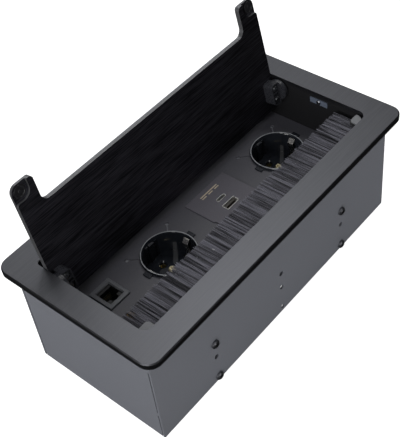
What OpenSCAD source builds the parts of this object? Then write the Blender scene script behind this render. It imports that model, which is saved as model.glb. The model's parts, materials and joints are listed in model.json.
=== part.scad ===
// In-desk power module with a flip-top lid.
// A flange plate lies on the desk and a folded sheet box hangs through the cut-out below it.
// Inside are a socket panel, a brush strip for the leads and a lid that turns on two arms.
// X runs along the module, Y points to the hinge side and Z points up.
// The origin is the centre of the flange's underside, which is the plane of the desk top.

/* [Flange] */
// Length of the flange plate
flange_l = 286; // [280:1:310]
// Width of the flange plate
flange_w = 142; // [138:1:160]
// Thickness of the flange plate
flange_t = 5; // [4.5:0.5:7]
// Radius of the flange's outer corners
flange_r = 10; // [3:1:14]
// Width of the flange's border at each end
border_x = 19; // [18:0.5:21]
// Width of the flange's border at the front and the back
border_y = 21; // [20:0.5:24]
// Bevel around the flange's top edge
flange_bevel = 0.8; // [0.3:0.1:1.2]

/* [Box] */
// How far the flange reaches past the box at each end
lip_x = 7.5; // [6:0.5:9]
// How far the flange reaches past the box at the front and the back
lip_y = 11; // [10:0.5:12]
// Depth of the box below the desk top
box_h = 94; // [94:1:110]
// Thickness of the box sheet
sheet_t = 1.5; // [1:0.1:1.8]
// Width of the turned-in rim at the top of the box
rim_w = 7; // [6:0.5:7]
// Width of the open seam at each upright corner
seam_w = 0.8; // [0.4:0.1:1.2]
// Sideways distance between the screw columns in the front and back walls
column_pitch = 76; // [70:1:84]
// Depth of the upper screws
screw_z1 = 52; // [50:1:54]
// Depth of the plain holes between the screws
hole_z = 67; // [62:1:72]
// Height of the lower screws above the bottom of the box
screw_up = 4.5; // [4.5:0.5:12]
// Diameter of the plain holes
hole_d = 4.2; // [3.6:0.1:5]

/* [Lid] */
// Thickness of the lid plate
lid_t = 4; // [3.5:0.1:4.2]
// Gap between the lid and the opening at the ends and the front
lid_gap = 0.5; // [0.4:0.1:0.8]
// Width of each ear at the lid's free edge
ear_w = 18; // [16:0.5:22]
// Depth of the lead outlet between the ears
outlet_d = 23; // [19:0.5:24]
// Radius in the inner corners of the outlet
outlet_r = 6; // [3:0.5:8]
// Opening angle of the lid
lid_open = 100.7; // [92:0.1:104]
// Depth of the milled step in the ears
step_d = 1.8; // [1.2:0.1:2.2]
// Radius of the milled step around the bumper
step_r = 7; // [6:0.5:7.5]

/* [Hinge] */
// Distance of the hinge line in front of the opening's back edge
hinge_back = 19.3; // [19:0.1:19.8]
// Distance of the hinge line below the lid's inner face
hinge_drop = 6.35; // [6:0.05:7]
// Diameter of the hinge pins
pin_d = 5; // [4:0.5:6]
// Radius of the round hinge cheek on each arm
cheek_r = 8.5; // [8:0.5:9.5]
// Thickness of the hinge cheek
cheek_t = 3; // [2.6:0.1:3.6]
// Width of the arm's foot along the lid
foot_w = 8; // [7.5:0.5:9]
// Length of the arm's foot across the lid
foot_l = 19; // [18:0.5:20]
// Thickness of the arm's foot
foot_t = 9; // [8:0.5:9.5]
// Depth of the pocket in the foot's face, in which the screws sit
pocket_d = 2; // [1.7:0.1:2.5]

/* [Panel] */
// Depth of the socket panel's top face below the desk top
panel_z = 34; // [32:0.5:38]
// Thickness of the panel sheet
panel_t = 1.5; // [1:0.1:2]
// Height of the panel's turned-down skirts
skirt_h = 27; // [24:1:30]
// Sideways place of the charger plate's middle, as a share of the opening's length
row_share = 0.0867; // [0.08:0.0001:0.093]
// Place of the row of sockets across the panel
row_y = 6.5; // [4:0.5:8]
// Distance from the charger plate to each socket, as a share of the opening's length
socket_share = 0.262; // [0.258:0.001:0.266]
// Distance from the left socket to the network jack, as a share of the opening's length
jack_share = 0.21; // [0.202:0.001:0.214]
// Distance of the network jack behind the row
jack_shift = 10.5; // [6:0.5:12]

/* [Sockets] */
// Outer diameter of a socket's rim ring
rim_d = 43.5; // [42.5:0.1:44]
// Width of the rim ring, from the cup's wall to its outside
ring_w = 2.05; // [1.8:0.05:2.2]
// Depth of a socket's cup below the rim
cup_depth = 19.5; // [18:0.5:20]
// Height of the rim ring above the panel
rim_h = 2.4; // [1.5:0.1:3]
// Distance between the two pin holes
pin_pitch = 19; // [18.8:0.1:19.2]
// Diameter of the pin holes
pin_hole_d = 5.4; // [5:0.1:5.8]

/* [Charger and jack] */
// Side of the square charger plate
plate_s = 45; // [44:0.5:46]
// Height of the charger plate above the panel
plate_h = 0.9; // [0.5:0.1:1.5]
// Length of the network jack's bezel along the panel
bezel_x = 19.7; // [19:0.1:21]
// Length of the network jack's bezel across the panel
bezel_y = 22; // [21:0.1:23]
// Height of the network jack's bezel above the panel
bezel_h = 1.6; // [1:0.1:2.2]

/* [Brush] */
// Free length of the bristles from the flange's inner edge
brush_reach = 25; // [20:0.5:26]
// Thickness of the layer of bristles
brush_t = 2.4; // [1.6:0.1:2.6]
// Width of one tuft of bristles
tuft_w = 3; // [2.5:0.5:5]

/* [Hidden] */
$fn = 48;
// Overlap of a cut past the face that it opens
cut = 1;
// Reach of a cut or a crop that only has to pass the whole piece
past = 60;
// Gap between pieces that are slid together
fit = 0.3;
// Running gap of a pin in its bore, on the radius
run = 0.05;

// Opening and box
open_l = flange_l - 2 * border_x;
open_w = flange_w - 2 * border_y;
open_r = 3;
ear_tip_r = 6;
// The front corners of the opening follow the lid's ears
open_front_r = ear_tip_r + lid_gap;
box_l = flange_l - 2 * lip_x;
box_w = flange_w - 2 * lip_y;
// Underside of the flange inside its rebate, on which the rim and the cheek plates lie
seat_z = 1.5;
rim_low = seat_z - sheet_t;
wall_in_x = box_l / 2 - sheet_t;
wall_in_y = box_w / 2 - sheet_t;
screw_z2 = box_h - screw_up;
tack_h = 4;
tack_z = [14, 64];

// Lid, drawn shut and then swung open about the hinge line
hinge_y = open_w / 2 - hinge_back;
lid_in_z = flange_t - lid_t;
lid_half = open_l / 2 - lid_gap;
lid_front = -open_w / 2 + lid_gap;
hinge_z = lid_in_z - hinge_drop;
// Radius inside which the lid's back edge turns clear of the flange
rear_reach = open_w / 2 - lid_gap + 0.1 - hinge_y;
lid_rear_in = hinge_y + sqrt(pow(rear_reach, 2) + pow(hinge_z, 2) - pow(hinge_drop, 2));
lid_rear_out = hinge_y
    + sqrt(pow(rear_reach, 2) + pow(hinge_z, 2) - pow(hinge_drop + lid_t, 2));
ear_x = lid_half - ear_w;
ear_tip_in_r = 3;
bumper_x = lid_half - 6.2;
bumper_y = lid_front + 5.6;
bumper_r = 4.8;
bumper_t = 1;

// Hinge arm and pin
cheek_x = lid_half - 0.5 - cheek_t;
foot_x = cheek_x - foot_w;
foot_front = 8.5;
foot_y = hinge_y - foot_front;
foot_r = 3.5;
foot_wall = 0.9;
foot_rib_t = 0.8;
foot_rib_pitch = 3.2;
washer_t = open_l / 2 - (cheek_x + cheek_t) - fit;
washer_r = 4.8;
pin_head_r = 4.5;
pin_head_t = 2;
pin_end_x = cheek_x;
arm_screw_d = 2.6;
arm_screw_head_r = 2.3;
arm_screw_head_t = 1.6;
arm_screw_bite = 2.4;
arm_screw_in = 4.6;
arm_screw_x = cheek_x - foot_wall - arm_screw_head_r - 0.1;
arm_screw_y = [foot_y + arm_screw_in, foot_y + foot_l - arm_screw_in];

// Sheet plates beside the panel
cheek_sheet = 1.5;
cheek_bottom = panel_z + panel_t + 8;
cheek_flange_w = box_l / 2 - rim_w - open_l / 2 - fit;
tab_x = bumper_x - 4.4;
tab_y = bumper_y + 3.3;
tab_r = 3.9;
pad_in = 1;
cheek_screw_y = [-0.24 * open_w, 0.14 * open_w];
cheek_screw_x = open_l / 2 + (cheek_sheet + cheek_flange_w) / 2;
cheek_screw_d = 2;
cheek_head_r = (cheek_flange_w - cheek_sheet) / 2 - 0.1;
clip_y = -0.07 * open_w;
clip_drop = 3;
clip_l = 16;
clip_h = 4.8;
wall_clip_t = 0.8;
clip_screw_d = 2.1;
clip_screw_l = 3.3;
clip_head_r = 1.9;
clip_head_t = 1;
pad_t = flange_t - lid_t + step_d - bumper_t - fit;

// Panel
panel_l = open_l - 2 * 0.4;
skirt_y = box_w / 2 - 2 * sheet_t;
bend_r = 2.5;
row_x = row_share * open_l;
left_x = row_x - socket_share * open_l;
right_x = row_x + socket_share * open_l;
jack_x = left_x - jack_share * open_l;
jack_y = row_y + jack_shift;
slit_w = 0.9;
slit_hole_d = 3.2;
slit_reach = rim_d / 2 + 9.45;
cup_hole_r = rim_d / 2 - 0.9;
snap_w = 6.5;
snap_reach = 3.6;
earth_screw_side = 5.6;
earth_screw_front = 25.5;
earth_screw_x = jack_x - earth_screw_side;
earth_screw_y = jack_y - earth_screw_front;
earth_screw_d = 4;
earth_screw_l = 8;
earth_head_r = 3.6;
earth_head_t = 2.2;

// Straps behind the front and back walls
strap_w = 16;
strap_top = screw_z1 - 8;
strap_bottom = screw_z2 + 3.5;
screw_d = 4;
screw_head_r = 3.4;
screw_head_t = 2.2;
nut_r = 4;
nut_t = 3;
rim_screw_d = 2.6;
rim_head_r = (rim_w - sheet_t) / 2 - 0.35;
rim_screw_x = 0.37 * open_l;
rim_screw_y = 0.3 * open_w;
screw_bite = 2.6;

// Brush holder under the flange's front border
holder_back = open_w / 2 + 0.8;
holder_front = wall_in_y - fit;
holder_wall = 0.9;
holder_web = 1.4;
holder_low = sheet_t + brush_t + 2 * holder_wall;
brush_half = open_l / 2 - 4.5;

// Sockets
cup_floor_t = 2.6;
cup_r = rim_d / 2 - ring_w;
body_r = cup_hole_r - 0.35;
cup_floor_z = rim_h - cup_depth;
base_s = rim_d - 1.5;
base_h = 18;
base_top = cup_floor_z - cup_floor_t;
clip_strip_w = 5;
clip_strip_t = 0.7;
clip_reach = cup_r - 3.4;
sleeve_r = 3.4;
sleeve_l = 13;
sleeve_floor = 1.5;
sleeve_slot = 1;
guide_w = 5.2;
guide_in = 2.2;
rib_w = 5.8;
rib_in = 1.2;
rib_x = 6.2;
rib_drop = 2.5;
centre_boss_r = 4.2;
centre_boss_h = 0.8;
centre_screw_d = 3;
centre_screw_l = 10;
lead_hole_d = 6;
lead_hole_h = 9;
strip_drop = 1.3;

// Charger plate and jack
charger_y = row_y - 0.8;
plate_hole = plate_s - 3;
block_s = plate_hole - 2 * fit;
block_h = panel_t + 1;
notch_w = 5;
notch_y = -9;
usb_a_y = -3.7;
usb_a_l = 13.1;
usb_a_w = 5.9;
usb_a_deep = 12;
tongue_a_l = 11.4;
tongue_a_w = 1.9;
tongue_a_back = 1.1;
tongue_a_short = 1.2;
usb_c_y = 5.6;
usb_c_l = 9.2;
usb_c_w = 3.2;
usb_c_deep = 7.5;
tongue_c_l = 6.6;
tongue_c_w = 0.7;
tongue_c_short = 0.9;
usb_gap = 0.15;
usb_wall = 0.35;
usb_floor = 1;
usb_proud = 0.4;
module_s = 38;
module_h = 24;
jack_l = 14.6;
jack_w = 16.2;
jack_h = 24;
port_l = 11.8;
port_w = 8;
port_depth = 14;
port_shift = 0.8;
latch_l = 6.2;
latch_w = 4;
keel_l = 3.4;
keel_w = 3;
contact_n = 8;
contact_pitch = 1.02;
contact_w = 0.4;

module box_at(x0, y0, z0, x1, y1, z1) {
    translate([x0, y0, z0]) cube([x1 - x0, y1 - y0, z1 - z0]);
}

module rounded_rect(l, w, r) {
    square([l - 2 * r, w], center = true);
    square([l, w - 2 * r], center = true);
    for (sx = [-1, 1], sy = [-1, 1])
        translate([sx * (l / 2 - r), sy * (w / 2 - r)]) circle(r);
}

module rounded_plate(l, w, t, r) {
    linear_extrude(t) rounded_rect(l, w, r);
}

// Plate with rounded corners and a bevel around its top edge
module bevelled_plate(l, w, t, r, b) {
    rounded_plate(l, w, t - b, r);
    translate([0, 0, t - b]) {
        rotate([90, 0, 0]) translate([0, 0, r - w / 2]) linear_extrude(w - 2 * r)
            polygon([[-l / 2, 0], [l / 2, 0], [l / 2 - b, b], [b - l / 2, b]]);
        rotate([90, 0, 90]) translate([0, 0, r - l / 2]) linear_extrude(l - 2 * r)
            polygon([[-w / 2, 0], [w / 2, 0], [w / 2 - b, b], [b - w / 2, b]]);
        for (sx = [-1, 1], sy = [-1, 1])
            translate([sx * (l / 2 - r), sy * (w / 2 - r), 0])
                cylinder(r1 = r, r2 = r - b, h = b);
    }
}

// A disc or a bore that lies along X
module rod_x(r, x0, x1) {
    translate([x0, 0, 0]) rotate([0, 90, 0]) cylinder(r = r, h = x1 - x0);
}

// A disc or a bore that lies along Y
module rod_y(r, y0, y1) {
    translate([0, y0, 0]) rotate([-90, 0, 0]) cylinder(r = r, h = y1 - y0);
}

// The left one of a pair that is drawn at the right
module at_side(s) {
    if (s < 0) mirror([1, 0, 0]) children();
    else children();
}

module at_end(s) {
    if (s < 0) mirror([0, 1, 0]) children();
    else children();
}

module at_socket(s) {
    translate([s < 0 ? left_x : right_x, row_y, -panel_z]) children();
}

// Swings what is drawn on the shut lid to its open place
module on_open_lid() {
    translate([0, hinge_y, hinge_z]) rotate([-lid_open, 0, 0])
        translate([0, -hinge_y, -hinge_z]) children();
}

// A pan head screw that points along -Z, with its seat at the origin
module pan_screw(d, l, head_r, head_t) {
    difference() {
        union() {
            translate([0, 0, -l]) cylinder(d = d, h = l);
            cylinder(r = head_r, h = head_t * 0.6);
            translate([0, 0, head_t * 0.6])
                cylinder(r1 = head_r, r2 = head_r * 0.72, h = head_t * 0.4);
        }
        for (a = [0, 90]) rotate([0, 0, a])
            translate([-head_r * 0.55, -head_r * 0.11, head_t * 0.45])
                cube([head_r * 1.1, head_r * 0.22, head_t]);
    }
}

// Flange plate with a bevelled top edge and, below, a rebate that takes the box's rim
module flange() {
    color("#2b2c2e") difference() {
        bevelled_plate(flange_l, flange_w, flange_t, flange_r, flange_bevel);
        translate([0, 0, -cut]) linear_extrude(flange_t + 2 * cut) opening_outline(0);
        box_at(-box_l / 2 - fit, -box_w / 2 - fit, -cut, box_l / 2 + fit, box_w / 2 + fit, seat_z);
        at_rim_screws() screw_bore(rim_screw_d);
        for (s = [-1, 1]) at_side(s) at_cheek_screws() screw_bore(cheek_screw_d);
    }
}

// Outline of the opening, or of what lies inside it with this gap
module opening_outline(gap) {
    l = open_l / 2 - gap;
    w = open_w / 2 - gap;
    translate([-l, open_front_r - w]) square([2 * l, 2 * w - open_front_r - open_r]);
    translate([open_r - l, 0]) square([2 * (l - open_r), w]);
    translate([open_front_r - l, -w]) square([2 * (l - open_front_r), w]);
    for (s = [-1, 1]) {
        translate([s * (l - open_front_r), open_front_r - w]) circle(open_front_r);
        translate([s * (l - open_r), w - open_r]) circle(open_r);
    }
}

module screw_bore(d) {
    translate([0, 0, seat_z - cut]) cylinder(d = d + 2 * run, h = screw_bite + 0.2 + cut);
}

// Three places behind the opening and two at each end, in the free part of the rim
module at_rim_screws() {
    for (sx = [-1, 0, 1])
        translate([sx * rim_screw_x, (box_w / 2 - rim_w + wall_in_y) / 2, 0]) children();
    for (sx = [-1, 1], sy = [-1, 1])
        translate([sx * (box_l / 2 - rim_w + wall_in_x) / 2, sy * rim_screw_y, 0]) children();
}

module at_cheek_screws() {
    for (y = cheek_screw_y) translate([cheek_screw_x, y, 0]) children();
}

module at_wall_column(z) {
    for (sx = [-1, 1], sy = [-1, 1])
        translate([sx * column_pitch, sy * box_w / 2, -z]) rotate([sy * -90, 0, 0]) children();
}

// Box folded from one sheet: a rim under the flange and four walls with open corner seams
module housing() {
    color("#3a3b3e") difference() {
        box_at(-box_l / 2, -box_w / 2, -box_h, box_l / 2, box_w / 2, seat_z);
        box_at(-wall_in_x, -wall_in_y, -box_h - cut, wall_in_x, wall_in_y, rim_low);
        box_at(rim_w - box_l / 2, rim_w - box_w / 2, -box_h,
            box_l / 2 - rim_w, box_w / 2 - rim_w, seat_z + cut);
        for (sx = [-1, 1], sy = [-1, 1]) corner_seam(sx, sy);
        for (sx = [-1, 0, 1], sy = [-1, 1])
            translate([sx * column_pitch, 0, -hole_z]) wall_hole(sy, hole_d);
        for (z = [screw_z1, screw_z2], sy = [-1, 1]) {
            translate([0, 0, -z]) wall_hole(sy, hole_d);
            for (sx = [-1, 1])
                translate([sx * column_pitch, 0, -z]) wall_hole(sy, screw_d + 0.2);
        }
        at_rim_screws() translate([0, 0, rim_low - cut])
            cylinder(d = rim_screw_d + 0.4, h = sheet_t + 2 * cut);
    }
}

module wall_hole(sy, d) {
    at_end(sy) translate([0, wall_in_y - cut, 0]) rod_y(d / 2, 0, sheet_t + 2 * cut);
}

// The seam is open along the corner, apart from two short welds
module corner_seam(sx, sy) {
    stops = [sheet_t + 1, tack_z[0], tack_z[0] + tack_h, tack_z[1], tack_z[1] + tack_h,
        box_h + cut];
    for (i = [0, 2, 4])
        mirror([sx < 0 ? 1 : 0, 0, 0]) mirror([0, sy < 0 ? 1 : 0, 0])
            box_at(wall_in_x - cut, box_w / 2 - sheet_t - seam_w, -stops[i + 1],
                box_l / 2 + cut, box_w / 2 - sheet_t, -stops[i]);
}

// Sheet plate beside the panel: it carries the hinge pin, the clip and the corner pad
module cheek_plate() {
    x = open_l / 2;
    color("#26272a") difference() {
        union() {
            box_at(x, -open_w / 2 + 1, -cheek_bottom, x + cheek_sheet, open_w / 2 + 1, seat_z);
            box_at(x, cheek_screw_y[0] - 9, seat_z - cheek_sheet, x + cheek_flange_w,
                cheek_screw_y[1] + 9, seat_z);
            translate([0, 0, -cheek_sheet]) linear_extrude(cheek_sheet)
                intersection() {
                    corner_tab(0);
                    translate([0, 1 - open_w / 2]) square(open_l / 2 + 0.5);
                }
        }
        translate([0, hinge_y, hinge_z]) rod_x(pin_d / 2 + run, x - cut, x + cheek_sheet + cut);
        at_cheek_screws() translate([0, 0, seat_z - cheek_sheet - cut])
            cylinder(d = cheek_screw_d + 0.3, h = cheek_sheet + 2 * cut);
        translate([0, clip_y, -clip_drop])
            rod_x(clip_screw_d / 2 + run, x - cut, x + cheek_sheet + cut);
    }
}

// Outline of the shelf in the opening's front corner, which carries the ear's pad
module corner_tab(inset) {
    corner_r = tab_r - inset;
    translate([tab_x + inset, -open_w / 2])
        square([past, tab_y - tab_r + open_w / 2]);
    translate([tab_x + tab_r, -open_w / 2])
        square([past, tab_y - inset + open_w / 2]);
    translate([tab_x + tab_r, tab_y - tab_r]) circle(corner_r);
}

// Socket panel: one sheet with skirts turned down at the front and the back
module panel_profile() {
    h = skirt_h + panel_t;
    difference() {
        union() {
            translate([-skirt_y, -h]) square([2 * skirt_y, h - bend_r]);
            translate([-skirt_y + bend_r, -bend_r - 0.01])
                square([2 * (skirt_y - bend_r), bend_r + 0.01]);
            for (s = [-1, 1]) translate([s * (skirt_y - bend_r), -bend_r]) circle(bend_r);
        }
        translate([-skirt_y + panel_t, -h - cut])
            square([2 * (skirt_y - panel_t), h + cut - panel_t]);
    }
}

module socket_panel() {
    color("#47484c") difference() {
        translate([-panel_l / 2, 0, -panel_z]) rotate([90, 0, 90])
            linear_extrude(panel_l) panel_profile();
        for (s = [-1, 1]) at_socket(s) socket_cutout();
        translate([row_x, charger_y, -panel_z - panel_t - cut])
            rounded_plate(plate_hole, plate_hole, panel_t + 2 * cut, 1);
        translate([jack_x, jack_y, -panel_z - panel_t - cut]) linear_extrude(panel_t + 2 * cut)
            square([jack_l + fit, jack_w + fit], center = true);
        translate([earth_screw_x, earth_screw_y, -panel_z - panel_t - cut])
            cylinder(d = earth_screw_d + 2 * run, h = panel_t + 2 * cut);
        for (sx = [-1, 1], sy = [-1, 1])
            translate([sx * column_pitch, 0, -screw_z1]) at_end(sy)
                rod_y(screw_d / 2 + 0.1, skirt_y - panel_t - cut, skirt_y + cut);
    }
}

// Round hole with side notches for the snaps and four relief slits with round ends
module socket_cutout() {
    translate([0, 0, -panel_t - cut]) linear_extrude(panel_t + 2 * cut) {
        circle(cup_hole_r);
        square([2 * (cup_hole_r + 1.2), snap_w + 1], center = true);
        for (a = [45:90:315]) rotate(a) {
            translate([cup_hole_r - 1, -slit_w / 2])
                square([slit_reach - cup_hole_r + 1, slit_w]);
            translate([slit_reach, 0]) circle(d = slit_hole_d);
        }
    }
}

// Lid plate with a bevelled back edge, two ears and the lead outlet between them
module lid_outline() {
    difference() {
        union() {
            translate([-lid_half, lid_front + ear_tip_r])
                square([2 * lid_half, lid_rear_in - lid_front - ear_tip_r - open_r]);
            translate([open_r - lid_half, lid_front + ear_tip_r])
                square([2 * (lid_half - open_r), lid_rear_in - lid_front - ear_tip_r]);
            for (s = [-1, 1]) {
                translate([s * (lid_half - open_r), lid_rear_in - open_r]) circle(open_r);
                translate([s * (lid_half - ear_tip_r), lid_front + ear_tip_r]) circle(ear_tip_r);
                translate([s * (ear_x + ear_tip_in_r), lid_front + ear_tip_in_r])
                    circle(ear_tip_in_r);
                translate([s * (ear_x + lid_half - ear_tip_r + ear_tip_in_r) / 2,
                    lid_front + ear_tip_r / 2 + 1])
                    square([ear_w - ear_tip_r - ear_tip_in_r, ear_tip_r + 2], center = true);
                translate([s * (ear_x + 3), lid_front + ear_tip_in_r + 3])
                    square([6, 6], center = true);
            }
        }
        outlet_outline();
    }
}

module outlet_outline() {
    y1 = lid_front + outlet_d;
    translate([-ear_x, lid_front - cut]) square([2 * ear_x, outlet_d - outlet_r + cut]);
    translate([-ear_x + outlet_r, lid_front]) square([2 * (ear_x - outlet_r), outlet_d]);
    for (s = [-1, 1]) translate([s * (ear_x - outlet_r), y1 - outlet_r]) circle(outlet_r);
}

module ear_step() {
    translate([bumper_x - step_r, lid_front - cut]) square([past, bumper_y - lid_front + cut]);
    translate([bumper_x, bumper_y]) circle(step_r);
    translate([bumper_x, lid_front]) square([past, bumper_y - lid_front + step_r]);
    difference() {
        translate([lid_half - 2, bumper_y + step_r - 0.5]) square([8, 2.5]);
        translate([lid_half - 2, bumper_y + step_r + 2]) circle(2);
    }
}

module lid_shut() {
    difference() {
        translate([0, 0, lid_in_z]) linear_extrude(lid_t) lid_outline();
        rear_bevel();
        for (s = [-1, 1]) at_side(s) {
            translate([0, 0, lid_in_z - cut]) linear_extrude(step_d + cut) ear_step();
            for (y = arm_screw_y)
                translate([arm_screw_x, y, lid_in_z - cut])
                    cylinder(d = arm_screw_d + 2 * run, h = arm_screw_bite + 0.3 + cut);
        }
    }
}

// Slanted back edge, so that the lid turns inside the opening
module rear_bevel() {
    translate([-lid_half - cut, 0, 0]) rotate([90, 0, 90]) linear_extrude(2 * lid_half + 2 * cut)
        polygon([[lid_rear_in, lid_in_z], [lid_rear_out, flange_t],
            [lid_rear_out, flange_t + cut], [lid_rear_in + cut, flange_t + cut],
            [lid_rear_in + cut, lid_in_z]]);
}

module lid() {
    color("#1d1e20") on_open_lid() lid_shut();
}

// Outline of the arm's foot, or of its pocket: the inner corners are rounded
module foot_outline(inset) {
    for (y = [foot_y + foot_r, foot_y + foot_l - foot_r])
        translate([foot_x + foot_r, y]) circle(foot_r - inset);
    translate([foot_x + inset, foot_y + foot_r]) square([foot_w / 2, foot_l - 2 * foot_r]);
    translate([foot_x + foot_r, foot_y + inset])
        square([foot_w - foot_r - inset, foot_l - 2 * inset]);
}

// Hinge arm: a foot that is screwed to the lid and a round cheek that turns on the pin
module hinge_arm() {
    foot_z = lid_in_z - foot_t;
    color("#17181a") difference() {
        union() {
            intersection() {
                translate([0, hinge_y, hinge_z]) rod_x(cheek_r, cheek_x, cheek_x + cheek_t);
                box_at(cheek_x, hinge_y - 2 * cheek_r, hinge_z - 2 * cheek_r,
                    cheek_x + cheek_t, hinge_y + 2 * cheek_r, lid_in_z);
            }
            translate([0, 0, foot_z]) linear_extrude(foot_t) foot_outline(0);
        }
        translate([0, 0, foot_z - cut]) linear_extrude(pocket_d + cut) difference() {
            foot_outline(foot_wall);
            for (s = [-1, 1])
                translate([foot_x, foot_y + (foot_l + s * foot_rib_pitch - foot_rib_t) / 2])
                    square([foot_w, foot_rib_t]);
        }
        translate([0, hinge_y, hinge_z]) rod_x(pin_d / 2 + run, pin_end_x - 0.2,
            cheek_x + cheek_t + cut);
        for (y = arm_screw_y) translate([arm_screw_x, y, foot_z])
            cylinder(d = arm_screw_d + 0.4, h = foot_t + cut);
    }
}

module arm_screws() {
    color("#8a8c90") for (y = arm_screw_y)
        translate([arm_screw_x, y, lid_in_z - foot_t + pocket_d]) mirror([0, 0, 1])
            pan_screw(arm_screw_d, foot_t - pocket_d + arm_screw_bite, arm_screw_head_r,
                arm_screw_head_t);
}

// Headed pin that is riveted to the cheek plate and reaches into the arm
module hinge_pin() {
    x_head = open_l / 2 + cheek_sheet;
    color("#9a9ca0") translate([0, hinge_y, hinge_z]) {
        rod_x(pin_d / 2, pin_end_x, x_head + cut);
        rod_x(pin_head_r, x_head, x_head + pin_head_t);
    }
}

module hinge_washer() {
    x1 = open_l / 2;
    color("#d8d8d2") translate([0, hinge_y, hinge_z]) difference() {
        rod_x(washer_r, x1 - washer_t, x1);
        rod_x(pin_d / 2 + run, x1 - washer_t - cut, x1 + cut);
    }
}

// Round bumper in the ear's step, with a dished face
module ear_bumper() {
    color("#5a5c60") on_open_lid()
        translate([bumper_x, bumper_y, lid_in_z + step_d - bumper_t]) difference() {
            cylinder(r = bumper_r, h = bumper_t);
            translate([0, 0, -cut]) difference() {
                cylinder(r = bumper_r - 1.3, h = cut + 0.5);
                translate([0, 0, -cut]) cylinder(r = 1.2, h = 4);
            }
        }
}

module corner_pad() {
    color("#a9abae") linear_extrude(pad_t) intersection() {
        corner_tab(pad_in);
        opening_outline(pad_in);
    }
}

// Channel that grips the bristles, closed at the front
module brush_holder() {
    color("#3c3d40") difference() {
        box_at(-brush_half, -holder_front, -holder_low, brush_half, -holder_back, rim_low);
        box_at(-brush_half - cut, -holder_front + holder_web, holder_wall - holder_low,
            brush_half + cut, -holder_back + cut, -sheet_t - holder_wall);
    }
}

// Bristles as a comb of tufts with slightly uneven ends
module brush_bristles() {
    z0 = holder_wall - holder_low;
    y0 = -holder_front + holder_web;
    n = floor(2 * brush_half / tuft_w);
    step = 2 * brush_half / n;
    tip_y = -open_w / 2 + brush_reach;
    color("#1f2023") {
        box_at(-brush_half, y0, z0, brush_half, y0 + 6, z0 + brush_t);
        for (i = [0:n - 1]) {
            x0 = -brush_half + i * step;
            box_at(x0, y0 + 5, z0, x0 + step - 0.25, tip_y - 0.6 * (1 + sin(i * 97)),
                z0 + brush_t);
        }
    }
}

// Half section of the moulded cup, from the rim ring down to the floor
module cup_section() {
    polygon([[0, base_top], [body_r, base_top], [body_r, 0], [rim_d / 2, 0],
        [rim_d / 2, rim_h - 0.4], [rim_d / 2 - 0.4, rim_h], [cup_r + 0.9, rim_h],
        [cup_r + 0.5, rim_h - 0.5], [cup_r, rim_h - 1.6], [cup_r, cup_floor_z],
        [0, cup_floor_z]]);
}

module socket_cup() {
    color("#0c0d0e") difference() {
        union() {
            rotate_extrude() cup_section();
            for (s = [-1, 1]) at_side(s)
                box_at(rim_d / 2 - 1.4, -snap_w / 2, 0, rim_d / 2 + snap_reach, snap_w / 2, 1.1);
            translate([0, 0, cup_floor_z]) cylinder(r = centre_boss_r, h = centre_boss_h);
            for (s = [-1, 1]) at_end(s) {
                box_at(-guide_w / 2, cup_r - guide_in, cup_floor_z, guide_w / 2, cup_r + 0.5,
                    rim_h - rib_drop);
                intersection() {
                    translate([0, 0, cup_floor_z]) cylinder(r = cup_r + 0.5, h = cup_depth);
                    for (t = [-1, 1]) translate([t * rib_x, 0, 0])
                        box_at(-rib_w / 2, cup_r - rib_in, cup_floor_z, rib_w / 2, cup_r + 1,
                            rim_h - rib_drop);
                }
            }
        }
        for (s = [-1, 1]) translate([0, s * pin_pitch / 2, base_top - cut])
            cylinder(d = pin_hole_d, h = cup_floor_t + cut * 2);
        for (s = [-1, 1]) translate([0, s * pin_pitch / 2, cup_floor_z - 0.8])
            cylinder(r1 = pin_hole_d / 2, r2 = pin_hole_d / 2 + 0.9, h = 0.81);
        translate([0, 0, base_top - cut])
            cylinder(d = centre_screw_d + 0.4, h = cup_floor_t + cut * 3);
        for (s = [-1, 1]) at_side(s)
            box_at(clip_reach - 0.9, -clip_strip_w / 2 - fit, base_top - cut, cup_r + fit,
                clip_strip_w / 2 + fit, rim_h - 1.8);
    }
}

// Back part of a socket with chambers for the sleeves and slots for the leads
module socket_base() {
    color("#d9d9d6") difference() {
        translate([0, 0, base_top - base_h]) rounded_plate(base_s, base_s, base_h, 4);
        for (s = [-1, 1]) translate([0, s * pin_pitch / 2, base_top - sleeve_l])
            cylinder(r = sleeve_r + 0.2, h = sleeve_l + cut);
        translate([0, 0, base_top - centre_screw_l])
            cylinder(d = centre_screw_d + 2 * run, h = centre_screw_l + cut);
        box_at(-cup_r - fit, -clip_strip_w / 2 - fit, base_top - strip_drop, cup_r + fit,
            clip_strip_w / 2 + fit, base_top + cut);
        for (sx = [-1, 1], sy = [-1, 1])
            translate([sx * base_s * 0.24, sy * base_s * 0.36, base_top - base_h - cut])
                cylinder(d = lead_hole_d, h = lead_hole_h + cut);
    }
}

// Earth strip: a bridge under the floor with a sprung contact at each side of the cup
module earth_clips() {
    t = clip_strip_t;
    top = rim_h - 2.4;
    low = base_top - strip_drop;
    color("#c9cbce") difference() {
        rotate([90, 0, 0]) translate([0, 0, -clip_strip_w / 2]) linear_extrude(clip_strip_w) {
            translate([-cup_r, low]) square([2 * cup_r, t]);
            for (s = [-1, 1]) mirror([s < 0 ? 1 : 0, 0]) polygon([
                [cup_r - t, low], [cup_r, low], [cup_r, cup_floor_z + 3],
                [clip_reach + t, top - 4.6], [clip_reach + t, top - 3.4],
                [cup_r - 0.2, top], [cup_r - 0.2 - t, top], [clip_reach, top - 3.2],
                [clip_reach, top - 4.8], [cup_r - t, cup_floor_z + 3]]);
        }
        translate([0, 0, low - cut]) cylinder(d = centre_screw_d + 0.4, h = 2 * cut + t);
    }
}

module centre_screw() {
    color("#c8a24a") translate([0, 0, cup_floor_z + centre_boss_h])
        pan_screw(centre_screw_d, centre_screw_l, 3, 1.6);
}

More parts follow.
